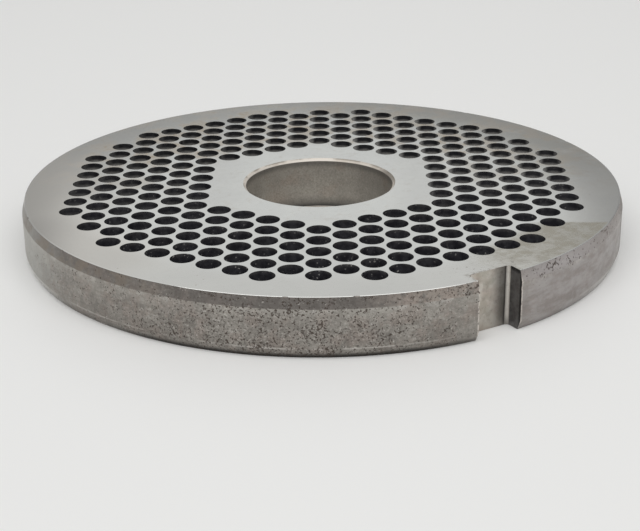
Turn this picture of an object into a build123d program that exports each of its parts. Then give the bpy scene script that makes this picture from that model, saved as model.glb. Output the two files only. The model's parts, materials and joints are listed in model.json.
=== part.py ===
"""A perforated steel plate for a meat grinder: one turned, drilled and slotted disc.

Millimetres, +Z up. The origin is on the bore's axis at the lower face, and the notch points along -Y.
"""
from build123d import *
import math
import os

# ---- Disc ----
plate_diameter = 129.5  # drops into a 130 mm barrel with a little clearance
plate_thickness = 12.0
rim_chamfer_width = 0.6  # steep lead-in at the upper face, measured inwards
rim_chamfer_height = 2.2
foot_chamfer_width = 0.8  # the same at the lower face
foot_chamfer_height = 2.0

# ---- Bore for the feed screw's stud ----
bore_diameter = 32.0
bore_chamfer = 0.6

# ---- Notch for the barrel's locating pin ----
notch_width = 9.6
notch_depth = 4.0
notch_corner_radius = 0.8

# ---- Field of cutting holes ----
hole_diameter = 5.0
hole_web = 1.0  # least steel left between two holes
hub_wall = 7.0  # least steel left between the bore and the holes
rim_wall = 6.0  # least steel left between the holes and the rim
row_turn = -1.2  # degrees from the X axis to the nearest row of holes

# ---- Worked out from the sizes above ----
plate_radius = plate_diameter / 2
bore_radius = bore_diameter / 2
hole_radius = hole_diameter / 2
notch_floor = plate_radius - notch_depth
hole_pitch = hole_diameter + hole_web
ring_step = hole_pitch * math.sqrt(3) / 2  # from one six-sided ring's flat side to the next
field_reach = plate_radius - rim_wall - hole_radius  # farthest place for a hole's centre
first_ring = math.ceil((bore_radius + hub_wall + hole_radius) / ring_step)
last_ring = math.floor(field_reach / ring_step)


def sextant_centres():
    """Centres of one sixth of the holes, ring by ring, from a corner of each ring to the next."""
    centres = []
    for ring in range(first_ring, last_ring + 1):
        for step in range(ring):
            centre = ((ring - step / 2) * hole_pitch, step * ring_step)
            if math.hypot(*centre) <= field_reach:
                centres.append(centre)
    return centres


with BuildPart() as grinder_plate:
    # The blank is turned: half its section, drawn from the axis outwards, goes once round Z.
    with BuildSketch(Plane.XZ):
        with BuildLine():
            Polyline(
                (bore_radius + bore_chamfer, 0),
                (plate_radius - foot_chamfer_width, 0),
                (plate_radius, foot_chamfer_height),
                (plate_radius, plate_thickness - rim_chamfer_height),
                (plate_radius - rim_chamfer_width, plate_thickness),
                (bore_radius + bore_chamfer, plate_thickness),
                (bore_radius, plate_thickness - bore_chamfer),
                (bore_radius, bore_chamfer),
                close=True,
            )
        make_face()
    revolve(axis=Axis.Z)

    # The notch is milled through from the rim, with its two inner corners rounded by the cutter.
    with BuildSketch():
        with Locations((0, -notch_floor)):
            slot = Rectangle(notch_width, 2 * notch_depth, align=(Align.CENTER, Align.MAX))
        fillet(slot.vertices().group_by(Axis.Y)[-1], notch_corner_radius)
    extrude(amount=plate_thickness, mode=Mode.SUBTRACT)

    # The cutting holes are drilled straight through, six like fields round the bore.
    with BuildSketch():
        with PolarLocations(0, 6, start_angle=row_turn):
            with Locations(*sextant_centres()):
                Circle(hole_radius)
    extrude(amount=plate_thickness, mode=Mode.SUBTRACT)

grinder_plate.part.label = "grinder_plate"

os.makedirs("parts", exist_ok=True)
export_step(grinder_plate.part, "parts/grinder_plate.step")

hole_count = 6 * len(sextant_centres())
print(f"{hole_count} holes in rings {first_ring} to {last_ring}, volume {grinder_plate.part.volume:.0f} mm3")
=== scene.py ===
# %% [markdown]
# # A meat grinder plate
# The real thing is one steel disc. It is turned on a lathe, milled with one notch, drilled with
# a field of small holes, and then its flat faces are ground bright while the rim keeps its dull
# turned skin. This lesson makes it in the same order: turn, mill, drill, nick the edges, and
# then finish each surface with a material of its own. Every length is in metres, and MM turns
# millimetres into them.

# %% Load the frame
import json
import math
import random
from types import SimpleNamespace

import bpy
from mathutils import Matrix, Vector


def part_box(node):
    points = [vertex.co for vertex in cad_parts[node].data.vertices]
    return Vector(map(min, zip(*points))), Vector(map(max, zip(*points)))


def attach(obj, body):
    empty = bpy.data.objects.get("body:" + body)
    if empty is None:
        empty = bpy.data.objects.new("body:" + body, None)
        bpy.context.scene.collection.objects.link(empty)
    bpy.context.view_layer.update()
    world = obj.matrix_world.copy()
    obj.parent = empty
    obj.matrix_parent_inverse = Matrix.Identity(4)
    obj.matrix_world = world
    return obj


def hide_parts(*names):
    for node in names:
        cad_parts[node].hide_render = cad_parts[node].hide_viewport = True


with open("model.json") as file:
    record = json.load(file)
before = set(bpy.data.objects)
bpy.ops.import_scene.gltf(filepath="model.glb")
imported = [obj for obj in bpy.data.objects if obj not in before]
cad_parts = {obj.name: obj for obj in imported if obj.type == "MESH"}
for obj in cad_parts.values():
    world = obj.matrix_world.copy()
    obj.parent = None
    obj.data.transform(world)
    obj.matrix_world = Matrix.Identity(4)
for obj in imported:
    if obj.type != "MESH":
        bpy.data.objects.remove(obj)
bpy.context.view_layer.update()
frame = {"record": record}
MM = 0.001

# %% [markdown]
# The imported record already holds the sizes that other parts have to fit: the bore, the rim's
# straight land and the thickness. Reading them from there keeps this model and the solid the
# same size. The plate's axis is the Z axis, its lower face lies at height 0, and the notch
# points along -Y.

# %% Sizes of the plate
mounts = {mount["name"]: mount for mount in frame["record"]["mounts"]}
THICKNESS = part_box("grinder_plate")[1].z
PLATE_RADIUS = mounts["rim"]["dims"]["r_mm"] * MM
LAND_MIDDLE = mounts["rim"]["pos_m"][2]
LAND_HALF = mounts["rim"]["dims"]["length_mm"] / 2 * MM
LAND_LOW = LAND_MIDDLE - LAND_HALF
LAND_HIGH = LAND_MIDDLE + LAND_HALF
BORE_RADIUS = mounts["centre_bore"]["dims"]["r_mm"] * MM
BORE_CHAMFER = (THICKNESS - mounts["centre_bore"]["dims"]["length_mm"] * MM) / 2
RIM_CHAMFER = 0.6 * MM
FOOT_CHAMFER = 0.8 * MM
NOTCH_WIDTH = 9.6 * MM
NOTCH_DEPTH = 4.0 * MM
NOTCH_CORNER = 0.8 * MM
HOLE_RADIUS = 2.5 * MM
HOLE_PITCH = 6.0 * MM
ROW_TURN = math.radians(-1.2)
FIRST_RING = 5
LAST_RING = 10
FIELD_REACH = 56.25 * MM
print(f"plate {2 * PLATE_RADIUS / MM:.1f} mm across, {THICKNESS / MM:.1f} mm thick")

# %% [markdown]
# A few short helpers stand for what the hand does all the time in the viewport: clear the
# selection, name what was made, settle its place, apply a modifier, and join many copies into
# one tool.

# %% Helpers for modelling
CLOSE = 0.002 * MM  # corners nearer to each other than this are one corner


def take(piece):
    """Selects one object and nothing else."""
    bpy.ops.object.select_all(action="DESELECT")
    piece.select_set(True)
    bpy.context.view_layer.objects.active = piece
    return piece


def added(name):
    """Names the primitive that was just added, and leaves it alone in the selection."""
    piece = take(bpy.context.object)
    piece.name = piece.data.name = name
    return piece


def settle(piece):
    """Moves the object's place, turn and scale into its mesh."""
    take(piece)
    bpy.ops.object.transform_apply(location=True, rotation=True, scale=True)


def apply_modifier(piece, kind, **settings):
    """Adds one modifier with its settings and applies it."""
    take(piece)
    modifier = piece.modifiers.new(kind.lower(), kind)
    for key, value in settings.items():
        setattr(modifier, key, value)
    bpy.ops.object.modifier_apply(modifier=modifier.name)


def cut(piece, tool):
    """Cuts the tool's shape out of the piece and throws the tool away."""
    apply_modifier(piece, "BOOLEAN", operation="DIFFERENCE", solver="MANIFOLD", object=tool)
    bpy.data.objects.remove(tool)


def joined(pieces):
    """Joins many meshes into the first of them."""
    take(pieces[0])
    for piece in pieces:
        piece.select_set(True)
    bpy.ops.object.join()
    return pieces[0]


def merge_close(piece):
    """Merges corners that two cuts left almost in one place."""
    take(piece)
    bpy.ops.object.mode_set(mode="EDIT")
    bpy.ops.mesh.select_all(action="SELECT")
    bpy.ops.mesh.remove_doubles(threshold=CLOSE)
    bpy.ops.mesh.dissolve_degenerate(threshold=CLOSE)
    bpy.ops.object.mode_set(mode="OBJECT")


# %% [markdown]
# The blank is a turned part, so it starts as half its section: one vertex, extruded from corner
# to corner, is the line that a lathe tool would follow. Spin then carries that line once round
# the axis. A cylinder with bevels would not give the steep, unequal chamfers at the two rims.
# The four corners at the ground faces are broken very slightly, as grinding and handling leave
# them.

# %% Turn the blank
RIM_STEPS = 288
EDGE_BREAK = 0.04 * MM  # how far a break reaches along each of the two faces that meet
CORNERS = (
    (BORE_RADIUS + BORE_CHAMFER, 0),
    (PLATE_RADIUS - FOOT_CHAMFER, 0),
    (PLATE_RADIUS, LAND_LOW),
    (PLATE_RADIUS, LAND_HIGH),
    (PLATE_RADIUS - RIM_CHAMFER, THICKNESS),
    (BORE_RADIUS + BORE_CHAMFER, THICKNESS),
    (BORE_RADIUS, THICKNESS - BORE_CHAMFER),
    (BORE_RADIUS, BORE_CHAMFER),
)


def section():
    """The corners of the half section, with two points in place of each one at a ground face."""
    points = []
    for index, corner in enumerate(CORNERS):
        if corner[1] in (0, THICKNESS):
            here = Vector(corner)
            for other in (CORNERS[index - 1], CORNERS[index + 1]):
                points.append(tuple(here + (Vector(other) - here).normalized() * EDGE_BREAK))
        else:
            points.append(corner)
    return points


def turn_blank(line):
    """Draws the half section's line and spins it into the disc."""
    radius, height = line[0]
    bpy.ops.mesh.primitive_plane_add(size=MM, location=(radius, 0, height))
    blank = added("grinder_plate_ground")
    settle(blank)
    bpy.ops.object.mode_set(mode="EDIT")
    bpy.ops.mesh.merge(type="CENTER")
    for start, end in zip(line, line[1:] + line[:1]):
        step = (end[0] - start[0], 0, end[1] - start[1])
        bpy.ops.mesh.extrude_region_move(TRANSFORM_OT_translate={"value": step})
    bpy.ops.mesh.select_all(action="SELECT")
    bpy.ops.mesh.remove_doubles(threshold=CLOSE)
    bpy.ops.mesh.spin(steps=RIM_STEPS, angle=math.tau, center=(0, 0, 0), axis=(0, 0, 1))
    bpy.ops.mesh.select_all(action="SELECT")
    bpy.ops.mesh.remove_doubles(threshold=CLOSE)
    bpy.ops.mesh.normals_make_consistent(inside=False)
    bpy.ops.object.mode_set(mode="OBJECT")
    return blank


plate = turn_blank(section())
print(f"blank: {len(plate.data.polygons)} faces")

# %% [markdown]
# The notch takes the barrel's locating pin. Its cutter is a block that starts outside the rim
# and stops at the notch's floor, and its two inner upright edges are rounded like the corners a
# milling cutter leaves. Only those two edges are selected, by their place.

# %% Mill the notch
NOTCH_FLOOR = PLATE_RADIUS - NOTCH_DEPTH  # its distance from the axis
CORNER_STEPS = 6
ACROSS_NOTCH = (1, 0, 0)
INTO_NOTCH = (0, 1, 0)  # from the rim towards the axis


def notch_cutter():
    """A block with two rounded upright edges on its inner side."""
    place = (0, -PLATE_RADIUS, THICKNESS / 2)
    size = (NOTCH_WIDTH, 2 * NOTCH_DEPTH, 2 * THICKNESS)
    bpy.ops.mesh.primitive_cube_add(size=1, location=place, scale=size)
    block = added("notch_cutter")
    settle(block)
    for edge in block.data.edges:
        ends = [block.data.vertices[index].co for index in edge.vertices]
        upright = abs(ends[0].z - ends[1].z) > THICKNESS
        edge.select = upright and ends[0].y > -PLATE_RADIUS
    bpy.ops.object.mode_set(mode="EDIT")
    bpy.ops.mesh.select_mode(type="EDGE")
    bpy.ops.mesh.bevel(offset=NOTCH_CORNER, segments=CORNER_STEPS)
    bpy.ops.object.mode_set(mode="OBJECT")
    return block


cut(plate, notch_cutter())

# %% [markdown]
# The cutting holes lie on six-sided rings round the bore, one pitch apart. The rings that cross
# the rim's bare band lose their corners. One drill is modelled, and each copy goes to its own
# centre. The copies never touch, so they can be joined and cut in one go. The edges of the
# holes are the cutting edges, so they stay as sharp as grinding leaves them.

# %% Drill the holes
HOLE_STEPS = 40


def hole_centres():
    """Centres of all holes: one sixth of each ring, turned to its six places."""
    centres = []
    for ring in range(FIRST_RING, LAST_RING + 1):
        for step in range(ring):
            centre = Vector((ring - step / 2, step * math.sqrt(3) / 2, 0)) * HOLE_PITCH
            if centre.length <= FIELD_REACH:
                for sixth in range(6):
                    turn = ROW_TURN + sixth * math.tau / 6
                    centres.append(Matrix.Rotation(turn, 3, "Z") @ centre)
    return centres


def drills(centres):
    """One drill for each hole, all joined into a single cutter."""
    size = {"radius": HOLE_RADIUS, "depth": 2 * THICKNESS}
    bpy.ops.mesh.primitive_cylinder_add(vertices=HOLE_STEPS, **size)
    drill = added("drill")
    copies = []
    for centre in centres:
        copy = drill.copy()
        copy.data = drill.data.copy()
        copy.location = centre + Vector((0, 0, THICKNESS / 2))
        bpy.context.collection.objects.link(copy)
        copies.append(copy)
    bpy.data.objects.remove(drill)
    tool = joined(copies)
    settle(tool)
    return tool


centres = hole_centres()
cut(plate, drills(centres))
print(f"{len(centres)} holes")

# %% [markdown]
# A hard plate that is often dropped on steel has nicks along its edges. Each nick is the bite
# of a small stretched ball, at most a fifth of a millimetre deep. A few are listed, and the
# others fall at random along the upper edge and along the two lines where the chamfers meet
# the land. Only the balls are shaded smooth, which tells the faces of their bites apart from
# the plate's own.

# %% Nick the edges
NICK_SPOTS = (  # in millimetres
    (-3.4, -60.75, 12.0),
    (-4.8, -64.55, 7.0),
    (-4.8, -64.55, 10.3),
    (4.8, -64.55, 8.6),
    (-5.6, -63.9, 12.0),
    (-62.9, 12.6, 12.0),
)
NICK_LINES = (
    (PLATE_RADIUS - RIM_CHAMFER, THICKNESS),
    (PLATE_RADIUS, LAND_HIGH),
    (PLATE_RADIUS, LAND_LOW),
)
NICKS_ON_LINE = 9
NICK_SEED = 5
NICK_SPREAD = (0.1, 0.9)  # where in its own stretch of the line a nick may fall
NICK_RADII = (0.5, 0.9)  # least and most, in millimetres
NICK_DEPTHS = (0.10, 0.20)
NICK_STRETCH = 1.5


def nick_tool(spot, size, depth):
    """A small ball just outside an edge, lying so that it bites to the given depth."""
    outward = Vector((spot.x, spot.y, 0)).normalized()
    outward.z = 1.0 if spot.z > THICKNESS - EDGE_BREAK else 0.0
    centre = spot + outward.normalized() * (size - depth)
    bpy.ops.mesh.primitive_ico_sphere_add(subdivisions=2, radius=size, location=centre)
    ball = added("nick")
    ball.rotation_euler.z = math.atan2(spot.y, spot.x)
    ball.scale = (1.0, NICK_STRETCH, 1.0)
    settle(ball)
    return ball


def nick_tools():
    """All the balls, joined into one cutter."""
    chance = random.Random(NICK_SEED)
    spots = [Vector(spot) * MM for spot in NICK_SPOTS]
    for radius, height in NICK_LINES:
        for step in range(NICKS_ON_LINE):
            turn = (step + chance.uniform(*NICK_SPREAD)) * math.tau / NICKS_ON_LINE
            spots.append(Vector((radius * math.cos(turn), radius * math.sin(turn), height)))
    balls = []
    for spot in spots:
        size = chance.uniform(*NICK_RADII) * MM
        depth = chance.uniform(*NICK_DEPTHS) * MM
        balls.append(nick_tool(spot, size, depth))
    tool = joined(balls)
    bpy.ops.object.shade_smooth()
    return tool


cut(plate, nick_tools())
merge_close(plate)
bites = {face.index for face in plate.data.polygons if face.use_smooth}
print(f"{len(bites)} faces in the nicks")

# %% [markdown]
# The round walls are shaded smooth, so their facets don't show, and every edge sharper than the
# given angle stays an edge. The two flat faces are shaded flat, so that the corners they share
# with the small breaks can't bend the light on them.

# %% Shade the plate
SMOOTH_BELOW = math.radians(35)  # faces that meet at less than this are shaded as one
LEVEL = 0.999  # a face whose direction is nearer than this to upright is flat
take(plate)
bpy.ops.object.shade_smooth_by_angle(angle=SMOOTH_BELOW)
for face in plate.data.polygons:
    if abs(face.normal.z) > LEVEL:
        face.use_smooth = False
print(f"plate: {len(plate.data.polygons)} faces")

# %% [markdown]
# One mesh can hold several finishes. Each face takes its material by where it lies: flat on top
# or below, inside a hole, in the bore, in the notch, or on the turned rim. The tiny breaks at
# the rim's two ends count as ground steel, because they are as bright as the flat faces.

# %% Sort the faces by finish
FINISHES = ("ground", "rim", "bore", "hole", "notch")
FLAT = 0.35  # a face that leans less than this from level belongs to the ground faces


def zone(face):
    """Names the finish of one face from its middle and its direction."""
    if face.index in bites:
        return "rim"
    middle = face.center
    radius = math.hypot(middle.x, middle.y)
    if abs(face.normal.z) > LEVEL:
        return "ground"
    if radius < BORE_RADIUS + BORE_CHAMFER + EDGE_BREAK:
        return "bore"
    if abs(face.normal.z) > FLAT and radius < PLATE_RADIUS - RIM_CHAMFER:
        return "ground"
    if radius < FIELD_REACH + HOLE_RADIUS + EDGE_BREAK:
        return "hole"
    in_width = abs(middle.x) < NOTCH_WIDTH / 2 + EDGE_BREAK
    in_depth = middle.y < -NOTCH_FLOOR + EDGE_BREAK
    return "notch" if in_width and in_depth else "rim"


plate.data.materials.clear()
for face in plate.data.polygons:
    face.material_index = FINISHES.index(zone(face))

# %% [markdown]
# ## Writing materials as sums
# A material here is arithmetic on noise and on places. Clicking dozens of Math nodes together
# is slow to read, so a small class wraps a socket and lets Python's own signs add the nodes:
# `a * b` makes a Multiply node. Almost every mask is one `rise`: a number that goes from 0 to 1
# between two limits. The limits are millimetres for a height, a radius or a distance along a
# direction. For noise they are near its middle, 0.5, and for a side of the plate they are
# cosines, so 0.95 is a narrow side.

# %% A socket that can be added and multiplied
class Signal:
    """The output of one node, with arithmetic that adds Math nodes."""

    def __init__(self, nodes, socket):
        self.nodes = nodes
        self.socket = socket

    def math(self, operation, *others):
        """Adds one Math node that starts from this signal."""
        values = dict(enumerate((self, *others)))
        return self.nodes.node("Math", {"operation": operation}, values)

    def __add__(self, other):
        return self.math("ADD", other)

    def __sub__(self, other):
        return self.math("SUBTRACT", other)

    def __rsub__(self, other):
        return self * -1 + other

    def __mul__(self, other):
        return self.math("MULTIPLY", other)

    def __truediv__(self, other):
        return self.math("DIVIDE", other)

    __radd__ = __add__
    __rmul__ = __mul__

    def larger(self, other):
        return self.math("MAXIMUM", other)

    def absolute(self):
        return self.math("ABSOLUTE")

    def rise(self, low, high):
        """Goes smoothly from 0 at low to 1 at high, or down from 1 if high is the smaller one."""
        if low > high:
            return 1 - self.rise(high, low)
        inputs = {"Value": self, "From Min": low, "From Max": high}
        return self.nodes.node("MapRange", {"interpolation_type": "SMOOTHSTEP"}, inputs)


class Nodes:
    """One node tree under construction."""

    def __init__(self, tree):
        self.tree = tree
        self.tree.nodes.clear()

    def node(self, kind, settings=None, inputs=None, output=0):
        """Adds any shader node: its settings first, then the values or links of its sockets."""
        made = self.tree.nodes.new("ShaderNode" + kind)
        for key, value in (settings or {}).items():
            setattr(made, key, value)
        for key, value in (inputs or {}).items():
            if isinstance(value, Signal):
                self.tree.links.new(value.socket, made.inputs[key])
            else:
                made.inputs[key].default_value = value
        return Signal(self, made.outputs[output])

    def vector_math(self, operation, first, second=None, output="Vector"):
        """Adds one Vector Math node."""
        inputs = {0: first} if second is None else {0: first, 1: second}
        return self.node("VectorMath", {"operation": operation}, inputs, output)

    def stretch(self, vector, scale):
        """Scales a vector by one number for each axis."""
        return self.vector_math("MULTIPLY", vector, scale)

    def share(self, vector, direction):
        """How far a vector reaches along a direction."""
        return self.vector_math("DOT_PRODUCT", vector, direction, "Value")

    def mix(self, factor, first, second):
        """Goes from the first colour to the second as the factor goes from 0 to 1."""
        inputs = {0: factor, 6: first, 7: second}  # the Mix node's sockets for colours
        return self.node("Mix", {"data_type": "RGBA"}, inputs, 2)

    def paint(self, colour, *coats):
        """Lays coats over a colour in turn, each with a mask and the colour that it brings."""
        for mask, over in coats:
            colour = self.mix(mask, colour, over)
        return colour


class Finish(Nodes):
    """A material under construction, with the plate's own coordinates in millimetres."""

    def __init__(self, name):
        self.material = bpy.data.materials.new(name)
        self.material.use_nodes = True
        super().__init__(self.material.node_tree)
        here = self.node("TexCoord", output="Object")
        self.place = self.stretch(here, (1 / MM, 1 / MM, 1 / MM))
        self.height = self.share(self.place, (0, 0, 1))
        outward = self.stretch(self.place, (1, 1, 0))
        self.radius = self.vector_math("LENGTH", outward, output="Value")

    def noise(self, size, detail=4.0, roughness=0.55, squash=(1, 1, 1), shift=0.0):
        """Smooth noise round 0.5, with blotches about size across, or less where squashed."""
        moved = self.shifted(self.stretch(self.place, squash), shift)
        inputs = {"Vector": moved, "Scale": 1 / size, "Detail": detail, "Roughness": roughness}
        return self.node("TexNoise", {}, inputs, "Fac")

    def shifted(self, vector, shift):
        """Moves a pattern to another place, so that two noises of one size differ."""
        return self.vector_math("ADD", vector, (shift, shift, shift))

    def specks(self, spacing, size, share, shift=0.0):
        """Ragged dots of mixed sizes up to size: one in each cell, in a share of the cells."""
        inputs = {"Vector": self.place, "Scale": 1.6 / size, "Detail": 1.0}
        ragged = self.node("TexNoise", {}, inputs, "Color")
        bent = self.vector_math("ADD", self.place, self.stretch(ragged, (0.7 * size,) * 3))
        inputs = {"Vector": self.shifted(bent, shift), "Scale": 1 / spacing}
        cell = self.node("TexVoronoi", {}, inputs, "Distance")
        colour = Signal(self, cell.socket.node.outputs["Color"])
        chance = self.node("SeparateColor", {}, {0: colour}, "Red")
        scatter = self.node("SeparateColor", {}, {0: colour}, "Green")
        reach = (scatter * 0.6 + 0.4) * (size / spacing / 2)
        dot = (cell / reach).rise(1.0, 0.5)
        return dot * chance.rise(1 - share, 1 - share * 0.8)

    def near(self, centre, reach, fade):
        """A round spot on the plate, as a mask: centre, reach and fade in millimetres."""
        gap = self.vector_math("DISTANCE", self.place, centre, "Value")
        return gap.rise(reach + fade, reach - fade)

    def along(self, direction):
        """How far a place lies along a direction, in millimetres."""
        return self.share(self.place, direction)

    def facing(self, direction):
        """1 on the side of the rim that a level direction points to, and -1 on the far side."""
        return self.along(direction) / self.radius

    def upright_edge(self, corner, reach):
        """A narrow mask along the two upright edges at plus and minus corner's x."""
        aside = self.along(ACROSS_NOTCH).absolute() - corner[0]
        outward = self.along(INTO_NOTCH) - corner[1]
        gap = (aside * aside + outward * outward).math("SQRT")
        return gap.rise(reach, reach * 0.4)

    def close(self, colour, roughness, metallic, bump=None, depth=0.0):
        """Ends the material in one Principled shader; the depth of the bump is in millimetres."""
        inputs = {"Base Color": colour, "Roughness": roughness, "Metallic": metallic}
        if bump is not None:
            relief = {"Height": bump, "Strength": 1.0, "Distance": depth * MM}
            inputs["Normal"] = self.node("Bump", {}, relief, "Normal")
        shader = self.node("BsdfPrincipled", {}, inputs)
        end = self.tree.nodes.new("ShaderNodeOutputMaterial")
        self.tree.links.new(shader.socket, end.inputs["Surface"])
        return self.material


def tint(level, red=0.0, blue=0.0):
    """A grey of the given level, with a share more red and a share less blue."""
    return (level * (1 + red), level, level * (1 - blue), 1.0)


# %% [markdown]
# ## The ground faces
# A surface grinder leaves the two flat faces bright, satin and almost without colour. What
# breaks the evenness is small: blotches a little warmer than the steel, a beige stain beside
# the notch where something wet has dried, and a few dark pits near the rim. A thin painted
# highlight runs along the outer edge, and the rosy part of the outer band is painted lighter.
# The stain has one rather sharp border, so it is everything on one side of a line, faded out
# towards the other sides.

# %% Ground steel
STAIN_BORDER = (0.54, 0.84, 0.0)  # square to the stain's sharp border
STAIN_SIDE = (0.84, -0.54, 0.0)  # along the border, towards the stained side
STAIN_START = -25.6  # millimetres from the axis, measured along STAIN_BORDER
STAIN_END = -56.0
STAIN_FADE = 14.0
PITTED_SPOT = (3.0, -59.0, 12.0)
GREASY_SIDE = (0.44, 0.90, 0.0)  # the side of the hole field with the warm smears
FILM_SIDE = (0.97, 0.25, 0.0)  # the part of the outer band under a thin olive film
DULL_SIDE = (-0.99, -0.13, 0.0)  # the darker part of the outer band
ROSY_SIDE = (-0.96, 0.27, 0.0)  # the part of the outer band that is pinker and lighter
RUBBED_SIDE = (0.65, -0.76, 0.0)  # the side that is rubbed, from the notch onwards
RIGHT_SIDE = (0.86, -0.51, 0.0)  # a quarter turn on from the most pitted side


def stain_mask(steel, smear):
    """The dried stain beside the notch, with one sharp border."""
    along = steel.along(STAIN_BORDER)
    started = along.rise(STAIN_START + 0.4, STAIN_START - 0.6)
    ended = along.rise(STAIN_END, STAIN_END + STAIN_FADE)
    on_band = steel.radius.rise(49.0, 54.0) * steel.radius.rise(64.2, 63.8)
    sideways = steel.along(STAIN_SIDE).rise(24.0, 40.0)
    return started * ended * sideways * on_band * (0.6 + 0.4 * smear.rise(0.38, 0.6))


def scuff_mask(steel):
    """Short dark scuffs along the brink of the notch."""
    aside = steel.along(ACROSS_NOTCH).absolute() - NOTCH_WIDTH / 2 / MM
    inward = steel.along(INTO_NOTCH) + NOTCH_FLOOR / MM
    brink = aside.larger(inward).rise(0.9, 0.1)
    return brink * steel.noise(0.9, detail=4.0, roughness=0.7, shift=29.0).rise(0.46, 0.56)


def ground_steel():
    """Bright ground steel with faint warm blotches, a stain and a few pits."""
    steel = Finish("ground_steel")
    radius = steel.radius
    blotch = steel.noise(7.0, detail=6.0, roughness=0.6)
    mottle = steel.noise(1.6, detail=4.0, roughness=0.65, shift=3.0)
    grain = steel.noise(0.3, detail=2.0, roughness=0.7)
    smear = steel.noise(2.2, detail=5.0, roughness=0.65, shift=9.0)
    greasy = steel.noise(6.0, detail=5.0, roughness=0.62, shift=40.0)

    band = radius.rise(51.0, 58.0)
    warm = greasy.rise(0.42, 0.60) * steel.along(GREASY_SIDE).rise(-22.0, 26.0)
    warm = warm * radius.rise(24.0, 34.0) * (0.5 + 0.5 * radius.rise(62.0, 55.0))
    film = steel.facing(FILM_SIDE).rise(0.55, 0.95) * radius.rise(48.0, 58.0)
    film = film * blotch.rise(0.25, 0.55)
    # Painted light: the rosy side is pinker, and it is also painted lighter.
    rosy = steel.facing(ROSY_SIDE).rise(0.65, 0.95) * radius.rise(46.0, 58.0)
    dull = steel.facing(DULL_SIDE).rise(0.93, 0.99) * band
    hub_spots = smear.rise(0.56, 0.66) * radius.rise(29.0, 25.0)
    hub_sides = steel.along(RIGHT_SIDE).absolute().rise(12.0, 22.0) * radius.rise(30.0, 26.0)
    stain = stain_mask(steel, smear)
    ring = steel.noise(1.0, detail=5.0, roughness=0.7, shift=77.0).rise(0.55, 0.66) * stain
    rare = steel.specks(2.2, 0.6, 0.2, shift=7.0)
    rare = rare * (radius.rise(52.0, 56.0) + radius.rise(26.0, 24.0) * 0.5)
    # Painted highlight: a light line along the face's outer edge, darker instead on the rubbed
    # side.
    edge = radius.rise(63.7, 63.95)
    dim_edge = edge * steel.facing(RUBBED_SIDE).rise(0.70, 0.90)
    pits = steel.noise(0.75, detail=2.0, shift=61.0).rise(0.63, 0.69)
    pits = pits * steel.near(PITTED_SPOT, 9.0, 6.0) * mottle.rise(0.42, 0.56)

    base = steel.mix(blotch.rise(0.3, 0.7), tint(0.64, -0.02, 0.02), tint(0.68, -0.02, 0.03))
    colour = steel.paint(
        base,
        (mottle.rise(0.5, 0.7) * 0.22, tint(0.54, 0.0, 0.04)),
        (band * 0.45, tint(0.52, 0.02, 0.05)),
        (warm * 0.75, tint(0.46, 0.13, 0.18)),
        (warm * mottle.rise(0.54, 0.64) * 0.6, tint(0.36, 0.28, 0.34)),
        (film * 0.55, tint(0.36, 0.02, 0.10)),
        (film * greasy.rise(0.45, 0.60) * 0.4, tint(0.40, 0.14, 0.16)),
        (hub_spots * 0.22, tint(0.44, 0.10, 0.14)),
        (hub_sides * 0.3, tint(0.48, 0.0, 0.03)),
        (rosy * 0.75, tint(0.70, 0.04, 0.07)),
        (dull * 0.45, tint(0.42, 0.03, 0.06)),
        (stain * 0.85, tint(0.345, 0.08, 0.20)),
        (ring * 0.45, tint(0.24, 0.12, 0.20)),
        (rare * 0.4, tint(0.30, 0.12, 0.15)),
        # painted highlight along the outer edge
        (edge * 0.5, tint(0.74, 0.0, 0.02)),
        (dim_edge * 0.7, tint(0.46, 0.0, 0.02)),
        (scuff_mask(steel) * 0.55, tint(0.20, 0.15, 0.15)),
        (pits * 0.75, tint(0.14, 0.1, 0.15)),
    )
    roughness = 0.06 + blotch * 0.02 + mottle * 0.03 + stain * 0.2 + warm * 0.08
    return steel.close(colour, roughness, 1 - pits * 0.6 - stain * 0.2, grain, 0.002)


# %% [markdown]
# ## The turned rim
# The rim was never ground. It keeps a grey-brown skin with marks that run round it, because the
# lathe and years of handling both rub that way, and it is peppered with small dark pits. Noise
# that is squashed along the height gives the marks without any seam, since it still reads plain
# places. Wear is not the same all round, and some sides are painted lighter or darker for the
# light that they mirror, so each side that looks different is a mask of its own. A painted
# shadow darkens the foot where the plate stands, and painted highlights line the notch's corners.

# %% Sides of the rim
FRONT = (-0.51, -0.86, 0.0)  # the most pitted side of the rim
DARKEST_CHAMFER_SIDE = (-0.59, -0.81, 0.0)  # where the upper chamfer is darkest
RUSTY_SIDE = (-1.0, -0.07, 0.0)  # where the upper chamfer is browner
# The lighter side below is partly wear and partly a painted reflection.
PALE_SIDE = (-0.93, 0.36, 0.0)  # the lighter, cleaner side


def rim_sides(skin):
    """Masks for the sides of the rim."""
    return SimpleNamespace(
        front=skin.facing(FRONT).rise(0.70, 0.95),
        grimy_and_shaded=skin.facing(DARKEST_CHAMFER_SIDE).rise(0.93, 0.985),
        coarse=skin.facing(DARKEST_CHAMFER_SIDE).rise(0.80, 0.97),
        contact_shadow_side=skin.facing(DARKEST_CHAMFER_SIDE).rise(0.80, 0.95),
        rusty=skin.facing(RUSTY_SIDE).rise(0.85, 0.97),
        pale=skin.facing(PALE_SIDE).rise(0.85, 0.99),
        nearly_pale=skin.facing(PALE_SIDE).rise(0.72, 0.90),
        brownish=skin.facing(RUBBED_SIDE).rise(0.38, 0.60),
        beyond=skin.facing(RUBBED_SIDE).rise(0.45, 0.68),
        rubbed_and_lit=skin.facing(RUBBED_SIDE).rise(0.68, 0.88),
        right=skin.facing(RIGHT_SIDE).rise(0.74, 0.90),
        far_end=skin.facing(RIGHT_SIDE).rise(0.94, 0.99),
    )


# %% Pits of the rim
PIT_CLUSTERS = ((10.2, -63.4, 9.3), (18.1, -61.6, 9.9), (13.0, -62.9, 11.3))  # beyond the notch


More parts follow.
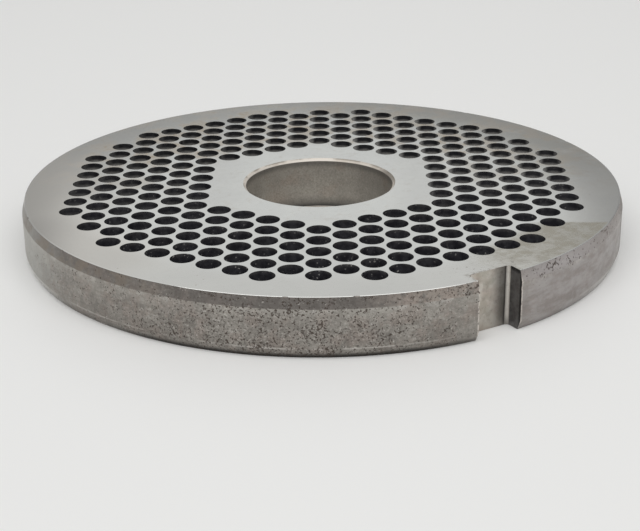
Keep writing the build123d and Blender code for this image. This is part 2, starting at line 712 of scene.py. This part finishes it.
def rim_pits(skin, sides, upper):
    """Dark pits and light glints, crowded at the front and in clusters beyond the notch."""
    crowd = (skin.noise(4.5, detail=5.0, roughness=0.65, shift=31.0) - 0.5) * 0.42
    crowd = crowd + sides.front * 0.05 + sides.grimy_and_shaded * 0.045
    crowd = crowd - sides.rubbed_and_lit * 0.10 - sides.pale * 0.06 - sides.beyond * 0.035
    crowd = crowd + upper * (sides.beyond * 0.14 - 0.06)
    crowd = crowd + skin.height.rise(LAND_HIGH / MM - 1.6, LAND_HIGH / MM) * sides.rubbed_and_lit * 0.07
    for centre in PIT_CLUSTERS:
        crowd = crowd + skin.near(centre, 1.2, 1.1) * 0.13
    small = skin.noise(0.45, detail=2.0, roughness=0.6, shift=5.0) + crowd * 0.8
    large = skin.noise(0.65, detail=2.0, roughness=0.6, shift=57.0) + crowd * 0.5
    dots = skin.specks(1.3, 0.5, 0.5, shift=67.0) * (crowd + 0.5).rise(0.48, 0.58)
    pits = small.rise(0.625, 0.70).larger(large.rise(0.71, 0.75)).larger(dots)
    glints = skin.noise(0.7, detail=3.0, roughness=0.7, shift=91.0) + crowd * 0.3
    return pits, glints.rise(0.64, 0.72)


# %% Worn lines of the rim
def worn_foot(skin, sides):
    """The light line where the land meets the lower chamfer, broken here and there."""
    low = LAND_LOW / MM
    line = skin.height.rise(low - 0.25, low) * skin.height.rise(low + 0.3, low)
    line = line * skin.noise(7.0, shift=3.0).rise(0.40, 0.60)
    return line * (1 - sides.beyond * 0.75) * (1 - sides.nearly_pale * 0.75)


def ragged_brow(skin, sides, upper):
    """The light, ragged edge where the land meets the upper chamfer."""
    high = LAND_HIGH / MM
    ragged = skin.noise(2.4, detail=5.0, roughness=0.7, shift=44.0)
    brow = skin.height.rise(high - 1.2, high - 0.2) * (1 - upper) * ragged.rise(0.48, 0.62)
    border = skin.height.rise(high - 0.5, high - 0.1) * skin.height.rise(high + 0.25, high)
    border = border * ragged.rise(0.44, 0.54) * sides.beyond * (1 - sides.rubbed_and_lit)
    return (brow * 0.5).larger(border * 0.6)


# %% Turned rim
CORNER_OUT = 0.18  # how far inside the rim the light corners of the notch lie, in millimetres


def turned_rim():
    """Dull grey-brown steel, mottled and pitted, with darker chamfers and worn edges, painted
    highlights at the notch's corners and a painted contact shadow at the foot.
    """
    skin = Finish("turned_rim")
    sides = rim_sides(skin)
    upper = skin.height.rise(LAND_HIGH / MM - 0.08, LAND_HIGH / MM + 0.08)
    foot = skin.height.rise(LAND_LOW / MM + 0.1, LAND_LOW / MM - 0.1)
    marks = skin.noise(2.6, detail=6.0, roughness=0.7, squash=(1, 1, 6))
    grain = skin.noise(0.6, detail=3.0, roughness=0.75, shift=17.0)
    mottle = skin.noise(1.7, detail=5.0, roughness=0.72, shift=23.0)
    patches = skin.noise(7.0, detail=6.0, roughness=0.6, squash=(1, 1, 1.5), shift=13.0)
    clouds = skin.noise(4.5, detail=5.0, roughness=0.6, squash=(1, 1, 2.5), shift=51.0)
    brown = skin.noise(3.6, detail=6.0, roughness=0.68, shift=71.0).rise(0.46, 0.6)
    rust = skin.noise(5.0, detail=5.0, roughness=0.7, shift=83.0).rise(0.45, 0.58)
    pits, glints = rim_pits(skin, sides, upper)
    worn = worn_foot(skin, sides)

    coarse = 0.22 + sides.coarse * 0.24
    lighter_half = skin.height.rise(6.0, 9.6) * (1 - upper)
    low_down = skin.height.rise(5.0, 0.3)
    brownish = sides.brownish * (1 - sides.rubbed_and_lit) * mottle.rise(0.36, 0.58)
    pale_foot = (sides.pale * 0.95).larger(sides.right * 0.6)
    # Worn, and partly a painted highlight: light lines on the rim just beside the notch's corners.
    corner = skin.upright_edge((NOTCH_WIDTH / 2 / MM, -PLATE_RADIUS / MM + CORNER_OUT), 0.4)
    # Painted shadow: the foot on the front side is darkened nearly to black where it meets the
    # table.
    painted_contact_shadow = skin.height.rise(1.3, 0.2) * sides.contact_shadow_side
    lilac = skin.mix(clouds.rise(0.36, 0.64), tint(0.29, 0.11, 0.04), tint(0.43, 0.06, 0.0))
    brow_tint = skin.mix(sides.right, tint(0.46, 0.07, 0.0), tint(0.30, 0.12, 0.06))

    base = skin.mix(patches.rise(0.38, 0.62), tint(0.24, 0.07, 0.09), tint(0.32, 0.06, 0.09))
    colour = skin.paint(
        base,
        (brown * 0.55, tint(0.26, 0.20, 0.12)),
        (mottle.rise(0.50, 0.34) * 0.34, tint(0.12, 0.10, 0.08)),
        (mottle.rise(0.52, 0.70) * 0.32, tint(0.48, 0.08, 0.07)),
        (grain.rise(0.48, 0.32) * coarse, tint(0.08, 0.12, 0.12)),
        (grain.rise(0.52, 0.70) * coarse, tint(0.58, 0.06, 0.07)),
        (marks.rise(0.45, 0.62) * 0.25, tint(0.15, 0.10, 0.12)),
        (low_down * 0.28, tint(0.17, 0.08, 0.10)),
        (lighter_half * 0.22, tint(0.52, 0.04, 0.09)),
        # Partly wear, partly a painted reflection: the pale side is painted lighter.
        (sides.pale * 0.6, tint(0.50, 0.0, 0.06)),
        (sides.rubbed_and_lit * 0.68, lilac),
        # Painted dark reflection: the far end of the right side is painted darker, and made
        # rougher.
        (sides.far_end * 0.75, tint(0.22, 0.0, 0.08)),
        # Partly grime, partly a painted dark reflection: the upper chamfer is painted darker, most
        # on its darkest side and least beyond the notch.
        (upper * (0.42 + sides.grimy_and_shaded * 0.25 - sides.beyond * 0.42), tint(0.11, 0.12, 0.06)),
        (upper * brownish * 0.6, tint(0.36, 0.18, 0.12)),
        (upper * sides.rubbed_and_lit * 0.5, brow_tint),
        # Partly wear, partly a painted reflection: the foot is painted lighter on the pale and
        # right sides.
        (foot * pale_foot, tint(0.62, 0.02, 0.04)),
        (upper * rust * sides.rusty * 0.6, tint(0.20, 0.20, 0.20)),
        (ragged_brow(skin, sides, upper), tint(0.54, 0.05, 0.06)),
        (worn * 0.55, tint(0.62, 0.05, 0.06)),
        (glints * 0.5, tint(0.66, 0.05, 0.06)),
        (corner * grain.rise(0.35, 0.5) * 0.8, tint(0.66, 0.08, 0.08)),
        (painted_contact_shadow * (0.75 + grain * 0.4), tint(0.02, 0.1, 0.1)),
        (pits * 0.88, tint(0.045, 0.40, 0.25)),
    )
    relief = mottle * 0.6 + grain * 0.5 - pits * 1.4
    roughness = 0.42 + brown * 0.1 + pits * 0.2 - worn * 0.12 + sides.far_end * 0.3
    return skin.close(colour, roughness, 0.85 - brown * 0.2 - pits * 0.4, relief, 0.06)


# %% [markdown]
# ## Bore, holes and notch
# The bore's wall is even and matt, with a bright chamfer and painted shade at its foot. Inside
# the cutting holes dried residue has turned the steel nearly black, with a few light specks,
# and where the residue is thinner the steel shows through in a band below the mouth. Elsewhere
# the mouth has a painted highlight, and the side walls are painted light. The notch was milled:
# its floor is beige-brown and blotchy, it darkens towards its right corner with dirt and painted
# shade, and the wall there is nearly black, with a painted dark reflection along its edges.

# %% Bore wall
BROWN_CHAMFER = (15.4, -4.0, 12.0)
RUSTY_PATCH = (-2.0, 16.0, 3.0)


def bore_wall():
    """Matt grey-brown, darker towards both ends, with painted shade at the foot and a cream
    chamfer with one brown stretch.
    """
    wall = Finish("bore_wall")
    top, inner = THICKNESS / MM, BORE_RADIUS / MM
    outer = inner + BORE_CHAMFER / MM
    patches = wall.noise(4.0, detail=5.0)
    grain = wall.noise(0.4, detail=3.0, roughness=0.7)
    brown = wall.noise(5.0, detail=4.0, shift=21.0).rise(0.5, 0.66)
    brown = brown.larger(wall.near(RUSTY_PATCH, 3.0, 2.5))
    chamfer = wall.radius.rise(inner + 0.02, inner + 0.1)
    outer_line = wall.radius.rise(outer - 0.28, outer - 0.12) * patches.rise(0.40, 0.58)
    darker_top = wall.height.rise(top - 2.4, top - 0.9)
    darker_low = wall.height.rise(3.6, 1.2)
    painted_foot_shade = wall.height.rise(1.7, 0.6)
    shaded = wall.along(RIGHT_SIDE).rise(2.0, 14.0)
    cream = wall.paint(
        tint(0.66, 0.08, 0.10),
        (patches.rise(0.45, 0.65) * 0.6, tint(0.46, 0.13, 0.15)),
        (outer_line * 0.7, tint(0.22, 0.14, 0.16)),
        (wall.near(BROWN_CHAMFER, 4.2, 2.4) * 0.75, tint(0.16, 0.14, 0.18)),
    )
    colour = wall.paint(
        tint(0.28, 0.08, 0.13),
        (patches.rise(0.3, 0.7), tint(0.34, 0.08, 0.13)),
        (brown * 0.5, tint(0.26, 0.22, 0.18)),
        (grain.rise(0.48, 0.34) * 0.35, tint(0.12, 0.10, 0.10)),
        (grain.rise(0.50, 0.70) * 0.35, tint(0.50, 0.06, 0.1)),
        (darker_top * 0.6, tint(0.09, 0.08, 0.08)),
        (darker_low * 0.6, tint(0.08, 0.08, 0.08)),
        (shaded * 0.25, tint(0.08, 0.04, 0.04)),
        # Painted shade at the foot of the bore, next to the table.
        (painted_foot_shade * 0.8, tint(0.03, 0.0, 0.0)),
        (chamfer, cream),
    )
    return wall.close(colour, 0.5 + grain * 0.05, 0.6 - chamfer * 0.3, grain, 0.02)


# %% Inside of the cutting holes
CLEANER_SIDE = (0.47, 0.88, 0.0)  # towards the holes that hold less residue


def hole_wall():
    """Black residue with light specks; the cleaner holes have a bare band below the mouth, and
    the side walls and the other mouths carry painted light.
    """
    wall = Finish("hole_wall")
    rightward = wall.along(RIGHT_SIDE)
    patches = wall.noise(1.4, detail=4.0)
    streaks = wall.noise(1.6, detail=3.0, squash=(1, 1, 0.3), shift=11.0)
    depth = THICKNESS / MM - wall.height
    cleaner = wall.along(CLEANER_SIDE).rise(-30.0, 30.0)
    shallow = (depth + streaks * 1.2).rise(3.6, 2.3) * 0.9 + 0.1
    bare = (depth + streaks * 0.4).rise(0.95, 1.85) * cleaner * shallow
    bare_tint = wall.mix(rightward.rise(5.0, 45.0), tint(0.37, 0.03, 0.05), tint(0.53, 0.03, 0.05))
    # Painted light: the walls that face across RIGHT_SIDE are painted light grey below the mouth,
    # more on one side of the field, as if lit from the side.
    across = wall.share(wall.node("TexCoord", output="Normal"), RIGHT_SIDE)
    rubbed_and_lit = across.rise(0.35, 0.90) * 0.9 + (across * -1).rise(0.7, 1.0) * 0.4
    rubbed_and_lit = rubbed_and_lit * (rightward.rise(-32.0, 12.0) * 0.8 + 0.2) * shallow
    rubbed_and_lit = rubbed_and_lit * cleaner.rise(0.05, 0.55) * streaks.rise(0.2, 0.5) * depth.rise(-0.9, 0.7)
    flecks = wall.specks(0.75, 0.6, 0.7) * patches.rise(0.42, 0.6)
    flecks = flecks * (0.25 + wall.along(FRONT).rise(34.0, 52.0) * 0.55)
    # Painted highlight: a lighter ring just below the mouth, away from the cleaner side.
    lip = depth.rise(0.9, 0.0) * streaks.rise(0.35, 0.6)
    colour = wall.paint(
        tint(0.024, 0.05, -0.30),
        (patches.rise(0.35, 0.7), tint(0.060, 0.02, -0.15)),
        (lip * (1 - cleaner) * 0.5, tint(0.14, 0.04, 0.03)),
        (cleaner * 0.6, tint(0.008, 0.0, 0.0)),
        (bare * 0.95, bare_tint),
        (rubbed_and_lit * 0.9, tint(0.70, 0.02, 0.04)),
        (flecks * (1 - cleaner), tint(0.7, 0.03, 0.06)),
    )
    return wall.close(colour, 0.5 + patches * 0.2, 0.4)


# %% Notch
def notch_wall():
    """Beige-brown milled steel, with dirt and painted shade towards one corner, and one dark side
    wall.
    """
    wall = Finish("notch_wall")
    top, brink_radius, half_width = THICKNESS / MM, PLATE_RADIUS / MM, NOTCH_WIDTH / 2 / MM
    patches = wall.noise(3.0, detail=5.0, roughness=0.6)
    mottle = wall.noise(1.2, detail=4.0, roughness=0.65, shift=37.0)
    grain = wall.noise(0.5, detail=3.0, roughness=0.7, squash=(1, 1, 0.4))
    olive = wall.noise(3.0, detail=4.0, shift=8.0).rise(0.45, 0.6)
    across = wall.along(ACROSS_NOTCH)
    side = across.rise(half_width - 0.12, half_width - 0.04)
    strip = across.rise(half_width - 0.82, half_width - 0.74) * (1 - side)
    floor = (1 - side) * (1 - strip)
    # Dirt and painted shade: the floor darkens towards the right corner, darkest in the crease by
    # the strip.
    dirt_and_shade = across.rise(-0.2, half_width - 0.8) * floor
    crease_dirt_and_shade = across.rise(half_width - 1.3, half_width - 0.85) * floor
    low_down = wall.height.rise(7.0, 0.3)
    painted_foot_shade = wall.height.rise(2.2, 0.2)
    brink = wall.radius.rise(brink_radius - 0.75, brink_radius - 0.45)
    brow = wall.height.rise(top - 1.0, top - 0.4)
    side_tint = wall.mix(mottle.rise(0.35, 0.65), tint(0.06, 0.04, -0.04), tint(0.11, 0.02, -0.03))
    colour = wall.paint(
        tint(0.46, 0.14, 0.12),
        (patches.rise(0.35, 0.65), tint(0.60, 0.05, 0.09)),
        (olive * 0.45, tint(0.34, 0.06, 0.18)),
        (mottle.rise(0.5, 0.34) * 0.35, tint(0.22, 0.12, 0.12)),
        (grain.rise(0.5, 0.8) * 0.3, tint(0.2, 0.1, 0.1)),
        (low_down * 0.45, tint(0.24, 0.10, 0.14)),
        (dirt_and_shade * 0.62, tint(0.14, 0.03, 0.05)),
        (crease_dirt_and_shade * 0.75, tint(0.05, 0.03, 0.05)),
        (strip * 0.6, tint(0.50, 0.04, 0.06)),
        # Painted shade at the foot of the rounded strip.
        (strip * painted_foot_shade * 0.6, tint(0.16, 0.04, 0.06)),
        (side * 0.92, side_tint),
        # Painted dark reflection: a nearly black line along the side wall's upper and outer edges.
        (side * brink.larger(brow) * 0.85, tint(0.01, 0.0, 0.0)),
    )
    return wall.close(colour, 0.34 + patches * 0.12, 0.85 - side * 0.3, grain, 0.02)


# %% Give the plate its finishes and its place in the frame
for finish in (ground_steel(), turned_rim(), bore_wall(), hole_wall(), notch_wall()):
    plate.data.materials.append(finish)

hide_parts("grinder_plate")
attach(plate, "root")

# %% [markdown]
# ## The stage
# The plate lies on a plain pale table under soft light. The table is wide enough to fill the
# picture, and it lies a hair below the plate, so that the two faces don't fight for the same
# place.

# %% Table
TABLE_SIZE = 8.0
TABLE_GAP = 0.05 * MM


def table():
    """A wide pale table top just under the plate."""
    bpy.ops.mesh.primitive_plane_add(size=TABLE_SIZE, location=(0, 0, -TABLE_GAP))
    top = added("table_top")
    finish = Finish("table_white")
    top.data.materials.append(finish.close(tint(0.87, 0.0, 0.01), 0.5, 0.0))


table()

# %% [markdown]
# Bright steel shows mostly what stands round it, so the room is part of the material. One large
# soft lamp hangs over the plate and a little to the near side. The walls are dim, except for
# one bright wall behind the plate, which the ground face mirrors, and a pale strip all round
# near the floor.

# %% Light
VIEW_TURN = math.radians(-30.9)  # from +Y to the line from the camera to the plate, from above
BACK = Matrix.Rotation(VIEW_TURN, 3, "Z")
LAMP_PLACE = BACK @ Vector((0.0, -1.1, 2.0))
LAMP_SIZE = (3.4, 2.6)
LAMP_POWER = 45.0


def softbox(name, place, aim, size, power):
    """An area lamp at a place, turned towards its aim."""
    bpy.ops.object.light_add(type="AREA", location=place)
    lamp = bpy.context.object
    lamp.name = name
    lamp.data.shape = "RECTANGLE"
    lamp.data.size, lamp.data.size_y = size
    lamp.data.energy = power
    lamp.rotation_euler = (Vector(aim) - Vector(place)).to_track_quat("-Z", "Y").to_euler()


softbox("ceiling", LAMP_PLACE, (0, 0, 0), LAMP_SIZE, LAMP_POWER)

# %% Room
WALL_HALF_WIDTH = 0.195  # of the bright wall, as a share of its distance
WALL_FOOT = 0.36  # the height where its lower edge starts to fade, as the sine of an angle
WALL_FADE = 0.075


def room():
    """Dim walls all round, and one bright wall behind the plate with soft edges."""
    world = bpy.data.worlds.new("room")
    bpy.context.scene.world = world
    world.use_nodes = True
    air = Nodes(world.node_tree)
    direction = air.node("TexCoord", output="Generated")
    behind = air.share(direction, BACK @ Vector((0, 1, 0)))
    aside = air.share(direction, BACK @ Vector((1, 0, 0))).absolute() / behind.larger(0.01)
    up = air.share(direction, (0, 0, 1))
    beside, under = aside / WALL_HALF_WIDTH, (WALL_FOOT - up).larger(0.0) / WALL_FADE
    bright = (beside * beside + under * under).math("SQRT").rise(1.17, 0.90) * up.rise(0.8, 0.6)
    colour = air.paint(
        tint(0.42, 0.0, 0.01),
        (up.rise(0.30, 0.25), tint(0.33, 0.0, 0.02)),
        (bright, tint(0.80, 0.0, 0.01)),
        (up.rise(0.13, 0.07), tint(0.74, 0.0, 0.01)),
    )
    sky = air.node("Background", {}, {"Color": colour, "Strength": 1.0})
    end = air.tree.nodes.new("ShaderNodeOutputWorld")
    air.tree.links.new(sky.socket, end.inputs["Surface"])


room()
bpy.context.scene.view_settings.view_transform = "Standard"

# %% [markdown]
# ## The camera
# The camera looks down at the plate by 22 degrees from about a third of a metre away. A slight
# turn about its own line of sight and a small shift set the plate in the frame.

# %% Camera
CAMERA_PLACE = Vector((-153.25, -256.09, 113.27)) * MM
CAMERA_TURN = math.radians(-27.885)
CAMERA_DIP = math.radians(22.054)
CAMERA_ROLL = math.radians(-1.671)
LENS = 80.563
SHIFT_X = 0.1094

bpy.ops.object.camera_add(location=CAMERA_PLACE)
camera = bpy.context.object
camera.data.lens = LENS
camera.data.shift_x = SHIFT_X
camera.data.clip_start = 0.01
camera.data.clip_end = 20.0
look = Matrix.Rotation(CAMERA_TURN, 3, "Z") @ Matrix.Rotation(math.pi / 2 - CAMERA_DIP, 3, "X")
camera.rotation_euler = (look @ Matrix.Rotation(CAMERA_ROLL, 3, "Z")).to_euler()
bpy.context.scene.camera = camera
